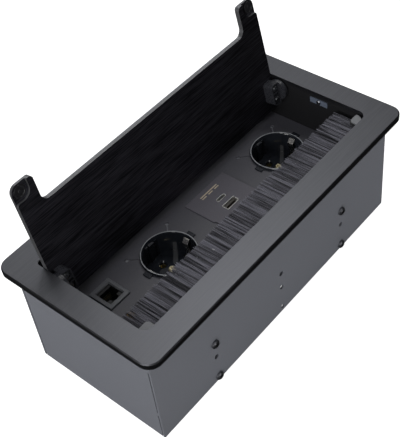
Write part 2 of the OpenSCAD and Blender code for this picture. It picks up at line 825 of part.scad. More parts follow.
module pin_sleeves() {
    color("#c9a850") for (s = [-1, 1])
        translate([0, s * pin_pitch / 2, base_top - sleeve_l]) difference() {
            cylinder(r = sleeve_r, h = sleeve_l - 0.1);
            translate([0, 0, sleeve_floor]) cylinder(d = pin_hole_d - 0.4, h = sleeve_l);
            box_at(-sleeve_slot / 2, -sleeve_r - cut, 2 * sleeve_floor,
                sleeve_slot / 2, sleeve_r + cut, sleeve_l);
        }
}

// Charger plate with a pry notch, and the module box behind it
module at_charger() {
    translate([row_x, charger_y, -panel_z]) children();
}

module charger_plate() {
    color("#4d4e52") at_charger() difference() {
        union() {
            bevelled_plate(plate_s, plate_s, plate_h, 0.8, 0.25);
            translate([0, 0, -block_h]) rounded_plate(block_s, block_s, block_h + 0.1, 1);
        }
        usb_a_recess(block_h + cut);
        usb_c_recess(block_h + cut);
        box_at(-plate_s / 2 - cut, notch_y - notch_w / 2, -cut, -plate_s / 2 + 1.2,
            notch_y + notch_w / 2, plate_h + cut);
    }
}

module charger_module() {
    color("#e2e2df") at_charger() difference() {
        translate([0, 0, -block_h - module_h]) rounded_plate(module_s, module_s, module_h, 2);
        usb_a_recess(usb_a_deep + usb_floor - plate_h - usb_proud);
        usb_c_recess(usb_c_deep + usb_floor - plate_h - usb_proud);
    }
}

module usb_a_recess(depth) {
    translate([0, usb_a_y, -depth]) linear_extrude(depth + plate_h + cut)
        square([usb_a_l + 2 * usb_gap, usb_a_w + 2 * usb_gap], center = true);
}

module usb_c_recess(depth) {
    translate([0, usb_c_y, -depth]) linear_extrude(depth + plate_h + cut)
        rounded_rect(usb_c_l + 2 * usb_gap, usb_c_w + 2 * usb_gap, usb_c_w / 2 + usb_gap - 0.01);
}

module usb_a_shell() {
    top = plate_h + usb_proud;
    color("#c6c8ca") at_charger() translate([0, usb_a_y, 0]) difference() {
        translate([0, 0, top - usb_a_deep - usb_floor]) linear_extrude(usb_a_deep + usb_floor)
            square([usb_a_l, usb_a_w], center = true);
        translate([0, 0, top - usb_a_deep]) linear_extrude(usb_a_deep + cut)
            square([usb_a_l - 2 * usb_wall, usb_a_w - 2 * usb_wall], center = true);
    }
}

module usb_a_tongue() {
    color("#efeee8") at_charger()
        translate([0, usb_a_y + tongue_a_back, plate_h + usb_proud - usb_a_deep])
            linear_extrude(usb_a_deep - tongue_a_short)
                square([tongue_a_l, tongue_a_w], center = true);
}

module usb_c_shell() {
    top = plate_h + usb_proud;
    color("#b9bbbe") at_charger() translate([0, usb_c_y, 0]) difference() {
        translate([0, 0, top - usb_c_deep - usb_floor])
            rounded_plate(usb_c_l, usb_c_w, usb_c_deep + usb_floor, usb_c_w / 2 - 0.01);
        translate([0, 0, top - usb_c_deep])
            rounded_plate(usb_c_l - 2 * usb_wall, usb_c_w - 2 * usb_wall, usb_c_deep + cut,
                usb_c_w / 2 - usb_wall - 0.01);
    }
}

module usb_c_tongue() {
    color("#1a1a1c") at_charger() translate([0, usb_c_y, plate_h + usb_proud - usb_c_deep])
        linear_extrude(usb_c_deep - tongue_c_short)
            square([tongue_c_l, tongue_c_w], center = true);
}

// Network jack: a bezel on the panel and the body that hangs through it
module at_jack() {
    translate([jack_x, jack_y, -panel_z]) children();
}

module jack_bezel() {
    color("#55575b") at_jack() difference() {
        bevelled_plate(bezel_x, bezel_y, bezel_h, 0.8, 0.4);
        translate([0, 0, -cut]) linear_extrude(bezel_h + 2 * cut)
            square([jack_l - 1.8, jack_w - 1.8], center = true);
        translate([0, 0, bezel_h - 0.6]) linear_extrude(cut)
            square([jack_l - 0.6, jack_w - 0.6], center = true);
    }
}

module jack_body() {
    color("#101113") at_jack() difference() {
        translate([0, 0, -jack_h]) linear_extrude(jack_h) square([jack_l, jack_w], center = true);
        translate([0, port_shift, -port_depth]) linear_extrude(port_depth + cut) {
            square([port_l, port_w], center = true);
            translate([0, -port_w / 2 - latch_w / 2 + 1]) square([latch_l, latch_w],
                center = true);
            translate([0, -port_w / 2 - latch_w + 1]) square([keel_l, keel_w], center = true);
        }
    }
}

module jack_contacts() {
    color("#d9b24c") at_jack() for (i = [0:contact_n - 1])
        translate([(i - (contact_n - 1) / 2) * contact_pitch - contact_w / 2,
            port_shift + port_w / 2, -port_depth])
            rotate([90, 0, 90]) linear_extrude(contact_w)
                polygon([[0, 0], [0, 9.5], [-2.1, 6], [-2.1, 5.5], [-0.4, 8.3], [-0.4, 0]]);
}

// Upright strap inside the wall, between the panel's skirt and the box
module strap() {
    y0 = box_w / 2 - 2 * sheet_t;
    color("#303134") difference() {
        box_at(column_pitch - strap_w / 2, y0, -strap_bottom, column_pitch + strap_w / 2,
            wall_in_y, -strap_top);
        for (z = [screw_z1, hole_z, screw_z2]) translate([column_pitch, 0, -z])
            rod_y((z == hole_z ? hole_d : screw_d + 0.2) / 2, y0 - cut, wall_in_y + cut);
    }
}

module panel_screws() {
    color("#3a3b3e") at_wall_column(screw_z1)
        pan_screw(screw_d, 2 * sheet_t + panel_t + nut_t, screw_head_r, screw_head_t);
}

module strap_screws() {
    color("#3a3b3e") at_wall_column(screw_z2)
        pan_screw(screw_d, 2 * sheet_t + nut_t, screw_head_r, screw_head_t);
}

module hex_nut(depth) {
    translate([0, 0, -depth - nut_t]) difference() {
        cylinder(r = nut_r, h = nut_t, $fn = 6);
        translate([0, 0, -cut]) cylinder(d = screw_d + 2 * run, h = nut_t + 2 * cut);
    }
}

module panel_nuts() {
    color("#9a9ca0") at_wall_column(screw_z1) hex_nut(2 * sheet_t + panel_t);
}

module strap_nuts() {
    color("#9a9ca0") at_wall_column(screw_z2) hex_nut(2 * sheet_t);
}

module rim_screws() {
    color("#77797d") at_rim_screws() translate([0, 0, rim_low]) mirror([0, 0, 1])
        pan_screw(rim_screw_d, sheet_t + screw_bite, rim_head_r, 1.6);
}

module cheek_screws() {
    color("#77797d") for (s = [-1, 1]) at_side(s) at_cheek_screws()
        translate([0, 0, seat_z - cheek_sheet]) mirror([0, 0, 1])
            pan_screw(cheek_screw_d, cheek_sheet + screw_bite, cheek_head_r, 1.4);
}

// Small plate high on the cheek plate's inner face, held by one screw
module wall_clip() {
    x = open_l / 2;
    color("#6f7276") difference() {
        box_at(x - wall_clip_t, clip_y - clip_l / 2, -clip_drop - clip_h / 2,
            x, clip_y + clip_l / 2, -clip_drop + clip_h / 2);
        translate([0, clip_y, -clip_drop]) rod_x(clip_screw_d / 2 + run, x - 3, x + 1);
    }
}

module clip_screws() {
    color("#c9cbce") for (s = [-1, 1]) at_side(s)
        translate([open_l / 2 - wall_clip_t, clip_y, -clip_drop]) rotate([0, -90, 0])
            pan_screw(clip_screw_d, clip_screw_l, clip_head_r, clip_head_t);
}

module earth_screw() {
    color("#c8a24a") translate([earth_screw_x, earth_screw_y, -panel_z])
        pan_screw(earth_screw_d, earth_screw_l, earth_head_r, earth_head_t);
}

flange();
housing();
at_side(-1) cheek_plate();  // cheek_plate_left
cheek_plate();  // cheek_plate_right
socket_panel();
lid();
at_side(-1) on_open_lid() hinge_arm();  // hinge_arm_left
on_open_lid() hinge_arm();  // hinge_arm_right
at_side(-1) hinge_pin();  // hinge_pin_left
hinge_pin();  // hinge_pin_right
at_side(-1) hinge_washer();  // hinge_washer_left
hinge_washer();  // hinge_washer_right
at_side(-1) on_open_lid() arm_screws();  // arm_screws_left
on_open_lid() arm_screws();  // arm_screws_right
at_side(-1) ear_bumper();  // ear_bumper_left
ear_bumper();  // ear_bumper_right
at_side(-1) corner_pad();  // corner_pad_left
corner_pad();  // corner_pad_right
brush_holder();
brush_bristles();
at_socket(-1) socket_cup();  // socket_cup_left
at_socket(1) socket_cup();  // socket_cup_right
at_socket(-1) socket_base();  // socket_base_left
at_socket(1) socket_base();  // socket_base_right
at_socket(-1) earth_clips();  // earth_clips_left
at_socket(1) earth_clips();  // earth_clips_right
at_socket(-1) centre_screw();  // centre_screw_left
at_socket(1) centre_screw();  // centre_screw_right
at_socket(-1) pin_sleeves();  // pin_sleeves_left
at_socket(1) pin_sleeves();  // pin_sleeves_right
charger_plate();
charger_module();
usb_a_shell();
usb_a_tongue();
usb_c_shell();
usb_c_tongue();
jack_bezel();
jack_body();
jack_contacts();
mirror([1, 0, 0]) at_end(-1) strap();  // strap_front_left
at_end(-1) strap();  // strap_front_right
mirror([1, 0, 0]) strap();  // strap_rear_left
strap();  // strap_rear_right
panel_screws();
panel_nuts();
strap_screws();
strap_nuts();
rim_screws();
cheek_screws();
at_side(-1) wall_clip();  // wall_clip_left
wall_clip();  // wall_clip_right
clip_screws();
earth_screw();
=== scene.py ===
"""Finishes, bristles, softened edges and the stage of an in-desk power module."""
import json
import math
import random

import bmesh
import bpy
from bpy.props import FloatProperty, FloatVectorProperty, IntProperty, PointerProperty
from mathutils import Matrix, Vector

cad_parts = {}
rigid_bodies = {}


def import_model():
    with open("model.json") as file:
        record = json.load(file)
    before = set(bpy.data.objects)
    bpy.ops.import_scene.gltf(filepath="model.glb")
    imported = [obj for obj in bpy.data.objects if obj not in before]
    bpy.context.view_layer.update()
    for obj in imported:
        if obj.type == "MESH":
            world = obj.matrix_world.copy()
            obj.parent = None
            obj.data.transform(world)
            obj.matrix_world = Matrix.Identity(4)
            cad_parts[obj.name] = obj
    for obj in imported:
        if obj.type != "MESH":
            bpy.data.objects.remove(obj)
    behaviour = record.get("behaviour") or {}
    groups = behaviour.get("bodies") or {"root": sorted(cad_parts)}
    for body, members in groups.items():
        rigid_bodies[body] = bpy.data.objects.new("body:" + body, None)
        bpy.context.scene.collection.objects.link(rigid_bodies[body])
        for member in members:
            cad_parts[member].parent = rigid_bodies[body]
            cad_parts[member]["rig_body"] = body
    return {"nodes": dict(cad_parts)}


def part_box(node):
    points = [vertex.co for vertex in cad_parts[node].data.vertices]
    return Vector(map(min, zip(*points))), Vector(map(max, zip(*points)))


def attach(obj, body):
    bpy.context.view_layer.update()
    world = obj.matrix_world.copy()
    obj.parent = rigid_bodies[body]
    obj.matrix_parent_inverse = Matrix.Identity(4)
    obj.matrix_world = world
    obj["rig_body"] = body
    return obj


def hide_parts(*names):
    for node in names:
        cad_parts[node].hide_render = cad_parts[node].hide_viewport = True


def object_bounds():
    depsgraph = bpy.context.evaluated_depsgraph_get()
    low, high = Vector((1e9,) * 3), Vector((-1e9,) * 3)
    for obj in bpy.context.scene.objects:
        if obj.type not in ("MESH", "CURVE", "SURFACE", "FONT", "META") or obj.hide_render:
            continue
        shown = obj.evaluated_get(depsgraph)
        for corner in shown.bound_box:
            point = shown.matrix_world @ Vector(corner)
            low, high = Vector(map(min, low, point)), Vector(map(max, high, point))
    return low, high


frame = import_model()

bl_info = {
    "name": "In-desk power module",
    "version": (1, 0, 0),
    "blender": (4, 5, 0),
    "location": "3D View > Sidebar > Power module",
    "description": "Dresses the packed power module and sets up its stage",
    "category": "Object",
}

MM = 0.001
CAD_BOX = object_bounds()

NOISE_RANGE = (0.3, 0.7)            # nearly all values of a noise pattern lie in here
WELD_DISTANCE = 0.001 * MM          # corners closer than this are one corner
FLAT_ANGLE = math.radians(0.4)      # faces that differ less are one flat face
EDGE_ANGLE = math.radians(32)       # edges sharper than this are rounded
# The lip faces get the painted highlight colour.
LIP_HIGHLIGHT_DEPTH = 0.1 * MM                # faces of a cup this close to its top are its lip

BRISTLE_SEED = 11
FIBRE_STEPS = 4                     # lengthways divisions of a bristle
FIBRE_TAPER = 0.35                  # share of its width that a bristle loses to its tip
ROOT_DEPTH = 2 * MM                 # from the strip's gripped side to the roots
TUFT_COUNT = (5, 9)                 # fewest and most bristles in a tuft
TUFT_REACH = (0.2 * MM, 1.8 * MM)   # how far a tuft's tips pass the strip's free side
TUFT_LEAN = 0.2 * MM                # usual sideways lean of a tuft at its tip
TUFT_LIFT = 0.15 * MM               # most that a tuft's tip is raised or lowered
TUFT_GATHER = 0.08                  # share of the way that tips draw to the tuft's middle
TIP_SCATTER = 0.12 * MM             # usual scatter of the tips across the strip
REACH_SCATTER = 0.3 * MM            # usual scatter of the tips along the bristles
BEND_SCATTER = 0.07 * MM            # usual bend of a bristle at its middle

MARK_INSET = 4.6 * MM               # from the charger plate's back edge to the mark's line
INK_THICKNESS = 0.04 * MM           # half of it lies in the plate
INK_ROUNDING = 0.01 * MM

STAGE_RADIUS = 6.0                  # metres, half the floor's side and the dome's radius
SENSOR_WIDTH = 36.0                 # millimetres
VIEW_CENTRE = Vector((-26.04, -11.85, 0)) * MM    # the camera looks at this point


def linear(code):
    """An sRGB hex colour as linear red, green and blue."""
    values = [int(code[i:i + 2], 16) / 255 for i in (1, 3, 5)]
    return [v / 12.92 if v <= 0.04045 else ((v + 0.055) / 1.055) ** 2.4 for v in values]


def colour(name, code, description):
    """A colour that the user can change."""
    return FloatVectorProperty(name=name, description=description, default=linear(code),
                               subtype="COLOR", size=3, min=0, max=1)


def length(name, metres, description):
    """A length that the user can change."""
    return FloatProperty(name=name, description=description, default=metres, min=0,
                         subtype="DISTANCE", unit="LENGTH", precision=5)


class ModuleColours(bpy.types.PropertyGroup):
    """Colours of the finishes."""
    anodised: colour("Anodised aluminium", "#5c5d61", "Brushed faces of the flange and the lid")
    lid_inside: colour("Lid inside", "#4e4d54", "Hand-brushed inner face of the lid")
    # Painted highlight: the lid's cut edge is coloured lighter for the bright line along it.
    milled: colour("Milled edge", "#9b9c9f", "Cut edge of the lid")
    powder: colour("Powder coat", "#686a71", "Box and brush holder")
    # Painted shade: the side plates and straps are nearly black for the shade inside the box
    # and behind the wall's holes.
    liner: colour("Side plates", "#1b1b1d", "Plates beside the panel, and the straps")
    panel: colour("Panel", "#55555c", "Socket panel")
    charger: colour("Charger plate", "#63616a", "Square plate of the USB ports")
    bezel: colour("Jack bezel", "#6a6c71", "Frame of the network jack")
    jack_inside: colour("Jack inside", "#141517", "Jack body and tongue of the USB-C port")
    tongue: colour("USB-A tongue", "#37332a", "Tongue of the wide USB port")
    inner_case: colour("Inner cases", "#d8d7d0", "Socket bases and the charger's case")
    # Partly painted light: the cups' colour is a dark grey, lighter than their real black, so
    # that their shaded insides show.
    cup: colour("Socket cup", "#26292f", "Moulded cups of the sockets")
    # Painted highlight: the cups' black lips are coloured light grey for the line of light
    # along their rims.
    lip_highlight: colour("Socket lip", "#a5a8ad", "Polished rim of the cups")
    arm: colour("Hinge arms", "#36373c", "Moulded arms of the lid")
    washer: colour("Washers", "#cfcfc8", "Washers on the hinge pins")
    rubber: colour("Bumpers", "#18181b", "Rubber bumpers on the lid's ears")
    pad: colour("Corner pads", "#8e9094", "Felt pads in the corners of the opening")
    # The bristle material paints light and shade in streaks over this colour.
    bristle: colour("Bristles", "#75757e", "Nylon bristles")
    zinc: colour("Zinc plate", "#a9acb0", "Pins, nuts and inner screws")
    black_zinc: colour("Black screws", "#85868b", "Screws in the box's walls")
    clip: colour("Wall clips", "#6d7686", "Coated clips high on the side plates")
    nickel: colour("Nickel", "#c4c2bb", "Earth contacts of the sockets")
    shell: colour("USB shells", "#f4f3f0", "Shells of the USB ports")
    brass: colour("Brass", "#dcd2ae", "Centre screws, pin sleeves and the jack's contacts")
    cast_brass: colour("Earth screw", "#8a7346", "Earth screw beside the jack")
    print_ink: colour("Print", "#d8cbb2", "Printed mark on the charger plate")
    floor: colour("Floor", "#f4f4f4", "Floor and backdrop of the stage")


class ModuleSizes(bpy.types.PropertyGroup):
    """Sizes of the details that are added to the frame."""
    plate_edge: length("Plate edge", 0.25 * MM, "Rounding on the edges of the plates")
    mould_edge: length("Moulded edge", 0.3 * MM, "Rounding on the edges of moulded pieces")
    small_edge: length("Small edge", 0.12 * MM, "Rounding on the edges of small metal pieces")
    lid_edge: length("Lid edge", 0.5 * MM, "Rounding on the edges of the lid")
    cup_edge: length("Cup edge", 0.6 * MM, "Rounding on the rims of the socket cups")
    bristle_width: length("Bristle width", 0.28 * MM, "Width of one bristle at its root")
    bristle_pitch: length("Bristle pitch", 0.42 * MM, "Sideways distance between bristles")
    bristle_rows: IntProperty(name="Bristle rows", default=4, min=1, max=6,
                              description="Rows of bristles above each other")
    mark_length: length("Mark length", 19 * MM, "Length of the direct current mark")
    mark_line: length("Mark line", 1.0 * MM, "Thickness of the mark's lines")
    mark_gap: length("Mark gap", 2.0 * MM, "From the mark's long line to its dashes")


class ModuleStage(bpy.types.PropertyGroup):
    """Camera and lights."""
    azimuth: FloatProperty(name="Azimuth", default=math.radians(44.287), subtype="ANGLE",
                           description="Turn of the camera to the left of the module")
    elevation: FloatProperty(name="Elevation", default=math.radians(46.297), subtype="ANGLE",
                             description="Height of the camera above the horizon")
    roll: FloatProperty(name="Roll", default=math.radians(-8.168), subtype="ANGLE",
                        description="Turn of the camera about its own axis")
    distance: length("Distance", 661.2 * MM, "From the camera to the point that it looks at")
    lens: FloatProperty(name="Lens", default=78.6, unit="CAMERA", min=10,
                        description="Focal length for a 36 mm sensor")
    sky: FloatProperty(name="Sky", default=0.02, min=0, description="Strength of the sky")
    reach: length("Light distance", 1.6, "From the middle of the module to each soft box")
    share: FloatProperty(name="Light share", default=1.0, min=0,
                         description="Multiplies the power of all soft boxes")


# Name, degrees round from the module's right end, degrees up,
# width and height in metres, watts.
SOFT_BOXES = (
    ("left_light", 180, 10, 0.55, 0.55, 8.4),
    ("tall_light", 200, 44, 0.35, 1.5, 5.6),
    ("front_left_light", 225, 25, 0.8, 0.8, 1.0),
    ("front_light", 270, 10, 0.55, 0.55, 2.6),
    ("back_right_light", 36, 35, 0.55, 0.55, 1.0),
    ("back_light", 72, 35, 0.55, 0.55, 1.8),
    ("right_top_light", 0, 60, 0.55, 0.55, 3.65),
    ("back_top_light", 45, 60, 0.55, 0.55, 3.3),
)


def node(tree, kind, inputs=None, **settings):
    """A new shader node with its settings; an input is a value or the socket that feeds it."""
    made = tree.nodes.new(kind)
    for name, value in settings.items():
        setattr(made, name, value)
    for name, value in (inputs or {}).items():
        if isinstance(value, bpy.types.NodeSocket):
            tree.links.new(value, made.inputs[name])
        else:
            made.inputs[name].default_value = value
    return made


def label(name):
    """The name that a material shows, which differs from those of the frame's materials."""
    return name.replace("_", " ").capitalize()


def start_material(name, **values):
    """A new material, its node tree and its shader, with the shader's constants set."""
    material = bpy.data.materials.new(label(name))
    material.use_nodes = True
    shader = material.node_tree.nodes["Principled BSDF"]
    for socket, value in values.items():
        shader.inputs[socket.replace("_", " ")].default_value = value
    return material, material.node_tree, shader


def material_of(maker):
    """The material that maker makes, made on its first use."""
    made = bpy.data.materials.get(label(maker.__name__))
    return made or maker(bpy.context.scene.module_colours)


def paint(piece, *makers):
    """Gives a piece or a CAD node its materials, in the order of its slots."""
    piece.data.materials.clear()
    for maker in makers:
        piece.data.materials.append(material_of(maker))


def grain(tree, size_mm, detail=3.0):
    """Noise whose blobs have this size in millimetres along the part's X, Y and Z."""
    place = node(tree, "ShaderNodeTexCoord")
    sized = node(tree, "ShaderNodeMapping", {
        "Vector": place.outputs["Object"], "Scale": [1000 / size for size in size_mm]})
    return node(tree, "ShaderNodeTexNoise", {
        "Vector": sized.outputs["Vector"], "Scale": 1.0, "Detail": detail,
        "Roughness": 0.6}).outputs["Fac"]


def tone(tree, shader, pattern, base, low, high, spread=NOISE_RANGE):
    """Colours the surface from low to high times its base colour, as the pattern goes."""
    ramp = node(tree, "ShaderNodeValToRGB", {"Fac": pattern})
    for stop, place, share in zip(ramp.color_ramp.elements, spread, (low, high)):
        stop.position = place
        stop.color = (*[min(1.0, c * share) for c in base], 1)
    tree.links.new(ramp.outputs["Color"], shader.inputs["Base Color"])


def sheen(tree, shader, pattern, low, high):
    """Lets the roughness run from low to high, as the pattern goes."""
    ranged = node(tree, "ShaderNodeMapRange", {
        "Value": pattern, "From Min": NOISE_RANGE[0], "From Max": NOISE_RANGE[1],
        "To Min": low, "To Max": high})
    tree.links.new(ranged.outputs["Result"], shader.inputs["Roughness"])


def relief(tree, shader, pattern, height_mm):
    """Raises the surface by up to height_mm, as the pattern goes."""
    bump = node(tree, "ShaderNodeBump", {"Height": pattern, "Distance": height_mm * MM})
    tree.links.new(bump.outputs["Normal"], shader.inputs["Normal"])


def brushed_anodised(colours):
    """Aluminium, brushed lengthways and anodised black: dark metal with long fine streaks.

    Real brush lines are about 0.1 mm apart; they are drawn 0.8 mm apart, so that they show.
    """
    material, tree, shader = start_material("brushed_anodised", Metallic=1.0)
    lines = grain(tree, (30, 0.8, 0.8), detail=4)
    tone(tree, shader, lines, colours.anodised, low=0.9, high=1.1)
    sheen(tree, shader, lines, low=0.34, high=0.42)
    relief(tree, shader, lines, height_mm=0.01)
    return material


def brushed_lid(colours):
    """Aluminium, brushed by hand and anodised black: strong streaks, clear even in the shade.

    Real brush lines are about 0.1 mm apart; they are drawn 0.7 mm apart, so that they show.
    """
    material, tree, shader = start_material("brushed_lid", Metallic=1.0)
    lines = grain(tree, (28, 0.7, 0.7), detail=3)
    tone(tree, shader, lines, colours.lid_inside, low=0.55, high=1.8, spread=(0.4, 0.64))
    sheen(tree, shader, lines, low=0.34, high=0.46)
    relief(tree, shader, lines, height_mm=0.02)
    return material


def milled_edge(colours):
    """Aluminium, milled and then anodised; the edge is coloured lighter as a painted highlight,
    for the bright line along the lid's edges.

    Cutter marks are about 0.2 mm apart; they are drawn 0.8 mm apart, so that they show.
    """
    material, tree, shader = start_material("milled_edge", Metallic=1.0)
    marks = grain(tree, (8, 0.8, 0.8))
    tone(tree, shader, marks, colours.milled, low=0.9, high=1.1)
    sheen(tree, shader, marks, low=0.5, high=0.6)
    return material


def powder_coat(colours):
    """Steel sheet in fine powder coat: dark grey with a slight orange peel.

    The peel is about 0.5 mm wide; it is drawn 1 mm wide, so that it shows.
    """
    material, tree, shader = start_material("powder_coat", IOR=1.5)
    peel = grain(tree, (1.0, 1.0, 1.0), detail=2)
    tone(tree, shader, peel, colours.powder, low=0.9, high=1.1)
    sheen(tree, shader, peel, low=0.42, high=0.52)
    relief(tree, shader, peel, height_mm=0.03)
    return material


def painted_shade_coat(colours):
    """Steel sheet in powder coat, coloured nearly black as painted shade inside the box and
    behind the holes in its walls.

    The peel is drawn 1 mm wide, twice its real width, so that it shows.
    """
    material, tree, shader = start_material("painted_shade_coat", IOR=1.5)
    peel = grain(tree, (1.0, 1.0, 1.0), detail=2)
    tone(tree, shader, peel, colours.liner, low=0.85, high=1.15)
    sheen(tree, shader, peel, low=0.42, high=0.55)
    relief(tree, shader, peel, height_mm=0.02)
    return material


def panel_coat(colours):
    """Steel sheet in smooth powder coat: an even, soft grey sheen.

    A smooth coat's waves are long and shallow, about 1.4 mm from crest to crest.
    """
    material, tree, shader = start_material("panel_coat", IOR=1.5)
    peel = grain(tree, (1.4, 1.4, 1.4), detail=2)
    tone(tree, shader, peel, colours.panel, low=0.93, high=1.07)
    sheen(tree, shader, peel, low=0.4, high=0.48)
    relief(tree, shader, peel, height_mm=0.02)
    return material


def charger_plastic(colours):
    """Polycarbonate, moulded in an eroded tool: a little lighter than the panel, quite matt.

    The tool's pits are about 0.1 mm wide; they are drawn 0.7 mm wide, so that they show.
    """
    material, tree, shader = start_material("charger_plastic", IOR=1.55)
    spark = grain(tree, (0.7, 0.7, 0.7), detail=2)
    tone(tree, shader, spark, colours.charger, low=0.88, high=1.12)
    sheen(tree, shader, spark, low=0.5, high=0.6)
    relief(tree, shader, spark, height_mm=0.03)
    return material


def bezel_plastic(colours):
    """ABS, moulded in a satin tool: its edges catch the light, with 2 mm wide flow marks."""
    material, tree, shader = start_material("bezel_plastic", IOR=1.53)
    flow = grain(tree, (2, 2, 2))
    tone(tree, shader, flow, colours.bezel, low=0.93, high=1.07)
    sheen(tree, shader, flow, low=0.3, high=0.4)
    return material


def glossy_cup(colours):
    """Thermoplastic, moulded in a polished tool: deep black, with crisp reflections; its colour
    is a lighter dark grey, partly painted light, so that the shaded cup is not black.

    Its tone drifts slowly, over about 6 mm, as the melt ran.
    """
    material, tree, shader = start_material("glossy_cup", IOR=1.55)
    flow = grain(tree, (6, 6, 10), detail=1)
    tone(tree, shader, flow, colours.cup, low=0.8, high=1.2)
    sheen(tree, shader, flow, low=0.04, high=0.08)
    return material


def lip_highlight(colours):
    """Thermoplastic, coloured light grey at the cup's lip: a painted highlight, the thin line
    of light around the socket.
    """
    material, tree, shader = start_material("lip_highlight", IOR=1.55)
    flow = grain(tree, (4, 4, 4), detail=1)
    tone(tree, shader, flow, colours.lip_highlight, low=0.9, high=1.1)
    sheen(tree, shader, flow, low=0.25, high=0.35)
    return material


def moulded_arm(colours):
    """Glass-filled nylon, moulded: satin black with a faintly cloudy skin, 1.2 mm a cloud."""
    material, tree, shader = start_material("moulded_arm", IOR=1.53)
    cloud = grain(tree, (1.2, 1.2, 1.2))
    tone(tree, shader, cloud, colours.arm, low=0.85, high=1.15)
    sheen(tree, shader, cloud, low=0.24, high=0.34)
    relief(tree, shader, cloud, height_mm=0.01)
    return material


def dark_moulding(colours):
    """Black thermoplastic, moulded: half matt, so that the port reads as a hole."""
    material, tree, shader = start_material("dark_moulding", IOR=1.53)
    cloud = grain(tree, (1.5, 1.5, 1.5))
    tone(tree, shader, cloud, colours.jack_inside, low=0.85, high=1.15)
    sheen(tree, shader, cloud, low=0.35, high=0.5)
    return material


def pale_moulding(colours):
    """Off-white polycarbonate, moulded: plain and slightly silky, with 3 mm wide clouds."""
    material, tree, shader = start_material("pale_moulding", IOR=1.55)
    cloud = grain(tree, (3, 3, 3))
    tone(tree, shader, cloud, colours.inner_case, low=0.95, high=1.03)
    sheen(tree, shader, cloud, low=0.35, high=0.45)
    return material


def olive_tongue(colours):
    """Polyester, moulded: dark olive and silky, deep in its shell."""
    material, tree, shader = start_material("olive_tongue", IOR=1.55)
    cloud = grain(tree, (1.5, 1.5, 1.5))
    tone(tree, shader, cloud, colours.tongue, low=0.9, high=1.1)
    sheen(tree, shader, cloud, low=0.35, high=0.45)
    return material


def nylon_washer(colours):
    """Natural nylon, turned from rod: milky white and waxy."""
    material, tree, shader = start_material(
        "nylon_washer", IOR=1.53, Subsurface_Weight=0.2, Subsurface_Scale=0.001)
    cloud = grain(tree, (1, 1, 1))
    tone(tree, shader, cloud, colours.washer, low=0.95, high=1.03)
    sheen(tree, shader, cloud, low=0.35, high=0.45)
    return material


def bumper_rubber(colours):
    """Rubber, moulded: nearly black with a faint bloom; its rounded rim shines a little."""
    material, tree, shader = start_material("bumper_rubber", IOR=1.52)
    bloom = grain(tree, (0.8, 0.8, 0.8))
    tone(tree, shader, bloom, colours.rubber, low=0.85, high=1.2)
    sheen(tree, shader, bloom, low=0.28, high=0.4)
    return material


def corner_pad(colours):
    """Pale grey felt, pressed from short fibres: matt, with a soft light at its rim.

    Real fibres are about 0.03 mm thick; the nap is drawn 0.5 mm wide, so that it shows.
    """
    material, tree, shader = start_material("corner_pad", IOR=1.5, Sheen_Weight=0.2)
    fibres = grain(tree, (0.5, 0.5, 0.5))
    tone(tree, shader, fibres, colours.pad, low=0.85, high=1.1)
    sheen(tree, shader, fibres, low=0.6, high=0.8)
    relief(tree, shader, fibres, height_mm=0.05)
    return material


def nylon_bristle(colours):
    """Nylon, drawn to fibres: dark grey, with painted light and shade in streaks along them.

    The tone changes every 0.7 mm across, two or three fibres, and runs on along them.
    """
    material, tree, shader = start_material("nylon_bristle", IOR=1.53)
    painted_streak = grain(tree, (0.7, 60, 4), detail=3)
    # Painted light and shade: the wide tone range makes lighter streaks for light on the fibres
    # and darker ones for the shade in the gaps.
    tone(tree, shader, painted_streak, colours.bristle, low=0.15, high=1.9, spread=(0.43, 0.57))
    sheen(tree, shader, painted_streak, low=0.35, high=0.5)
    return material


def zinc_steel(colours):
    """Steel, zinc plated: cool, pale grey with 2 mm wide clouds from the bath."""
    material, tree, shader = start_material("zinc_steel", Metallic=1.0)
    cloud = grain(tree, (2, 2, 2))
    tone(tree, shader, cloud, colours.zinc, low=0.85, high=1.08)
    sheen(tree, shader, cloud, low=0.24, high=0.36)
    return material


def black_screw(colours):
    """Steel, plated in black zinc: dark, with a soft metallic glint."""
    material, tree, shader = start_material("black_screw", Metallic=1.0)
    cloud = grain(tree, (1.5, 1.5, 1.5))
    tone(tree, shader, cloud, colours.black_zinc, low=0.85, high=1.15)
    sheen(tree, shader, cloud, low=0.4, high=0.5)
    return material


def clip_sheet(colours):
    """Steel sheet, rolled and thinly coated: bluish grey, lighter along the rolled grain.

    The grain is about 0.2 mm wide; it is drawn 0.6 mm wide, so that it shows.
    """
    material, tree, shader = start_material("clip_sheet", IOR=1.5)
    rolled = grain(tree, (2, 6, 0.6))
    tone(tree, shader, rolled, colours.clip, low=0.85, high=1.1)
    sheen(tree, shader, rolled, low=0.3, high=0.42)
    return material


def spring_nickel(colours):
    """Spring strip, rolled and nickel plated: bright, with sharp glints.

    The rolling marks are about 0.2 mm wide; they are drawn 1 mm wide, so that they show.
    """
    material, tree, shader = start_material("spring_nickel", Metallic=1.0)
    marks = grain(tree, (1, 1, 6))
    tone(tree, shader, marks, colours.nickel, low=0.85, high=1.1)
    sheen(tree, shader, marks, low=0.2, high=0.3)
    return material


def drawn_shell(colours):
    """Sheet, deep drawn and nickel plated: bright, and satin at its cut rim.

    The draw marks are about 0.1 mm wide; they are made 1 mm wide, so that they show.
    """
    material, tree, shader = start_material("drawn_shell", Metallic=1.0)
    marks = grain(tree, (1, 1, 4))
    tone(tree, shader, marks, colours.shell, low=0.94, high=1.02)
    sheen(tree, shader, marks, low=0.5, high=0.6)
    return material


def turned_brass(colours):
    """Brass, turned: warm pale yellow, with a soft spread of light."""
    material, tree, shader = start_material("turned_brass", Metallic=1.0)
    cloud = grain(tree, (1.5, 1.5, 1.5))
    tone(tree, shader, cloud, colours.brass, low=0.88, high=1.05)
    sheen(tree, shader, cloud, low=0.3, high=0.42)
    return material


